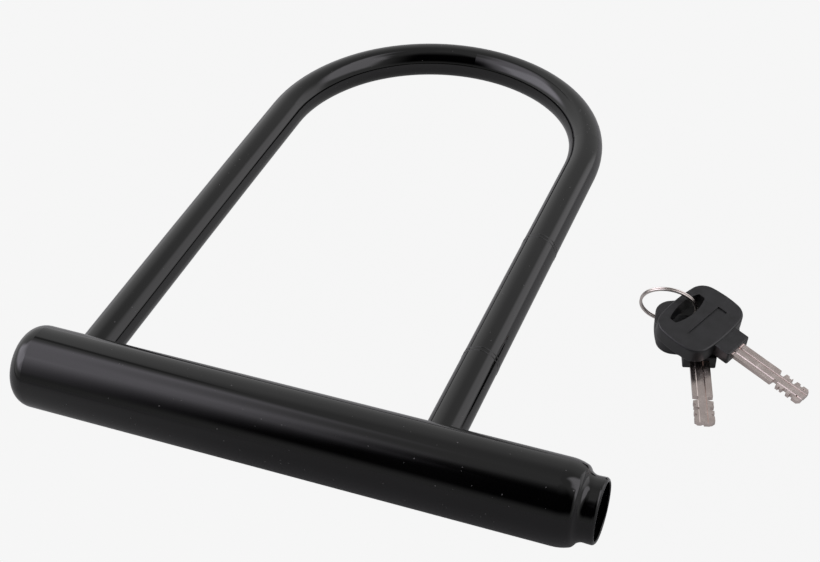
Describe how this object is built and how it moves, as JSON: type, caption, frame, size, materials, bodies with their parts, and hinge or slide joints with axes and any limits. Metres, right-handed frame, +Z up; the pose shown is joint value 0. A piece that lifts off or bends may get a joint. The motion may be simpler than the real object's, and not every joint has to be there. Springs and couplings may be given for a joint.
{
  "type": "u lock",
  "caption": "Bicycle U lock: coated steel shackle in a keyed crossbar that traps both legs, lying flat beside its keys on a split ring.",
  "frame": {"origin": "on the crossbar's axis, midway between the shackle's two legs", "axes": "+X along the crossbar to its keyed end, +Y from the crossbar towards the bend of the shackle, +Z up from the surface the lock lies on"},
  "size_m": [0.2589, 0.2661, 0.029],
  "materials": {
    "vinyl": "glossy black dipped vinyl",
    "key_plastic": "satin moulded black plastic",
    "nickel_silver": "milled and tumbled nickel silver",
    "ring_steel": "bright nickel plated spring wire",
    "hardened_steel": "oiled hardened steel",
    "spring_steel": "bright drawn steel",
    "brass": "turned brass",
    "nylon": "natural moulded nylon"
  },
  "bodies": {
    "crossbar": {"crossbar_sleeve": "vinyl", "crossbar_tube": "hardened_steel", "end_plug": "hardened_steel", "leg_guide_left": "nylon", "leg_guide_right": "nylon", "bar_bush_left": "nylon", "bar_bush_right": "nylon", "lock_housing": "brass", "housing_pin": "hardened_steel", "retaining_clip": "spring_steel", "detent_ball": "spring_steel", "detent_spring": "spring_steel"},
    "lock_core": {"lock_bar": "hardened_steel", "drive_coupling": "hardened_steel", "coupling_pin": "spring_steel", "core_drum": "brass", "detainer_discs": "brass", "disc_spacers": "brass", "sidebar": "spring_steel", "front_disc": "hardened_steel"},
    "shackle": {"shackle_rod": "hardened_steel", "shackle_coat": "vinyl"},
    "ring": {"key_ring": "ring_steel"},
    "key_a": {"key_a_blade": "nickel_silver", "key_a_cover_upper": "key_plastic", "key_a_cover_lower": "key_plastic"},
    "key_b": {"key_b_blade": "nickel_silver", "key_b_cover_upper": "key_plastic", "key_b_cover_lower": "key_plastic"}
  },
  "joints": [
    {"name": "shackle_slide", "type": "slide", "parent": "crossbar", "child": "shackle", "axis": [0, 0.9995, -0.0314], "range_m": [0, 0.06]},
    {"name": "core_turn", "type": "hinge", "parent": "crossbar", "child": "lock_core", "pos_m": [0, 0, 0], "axis": [1, 0, 0], "range_deg": [0, 90]},
    {"name": "keys_lift", "type": "slide", "parent": "crossbar", "child": "ring", "axis": [0, 0, 1], "range_m": [0, 0.05]},
    {"name": "key_a_swing", "type": "hinge", "parent": "ring", "child": "key_a", "pos_m": [0.12753, 0.10895, -0.00167], "axis": [0.1022, -0.134, 0.9857], "range_deg": [-9, 9]},
    {"name": "key_b_swing", "type": "hinge", "parent": "ring", "child": "key_b", "pos_m": [0.12554, 0.11133, -0.00943], "axis": [0.022, -0.0715, 0.9972], "range_deg": [-7, 7]}
  ]
}
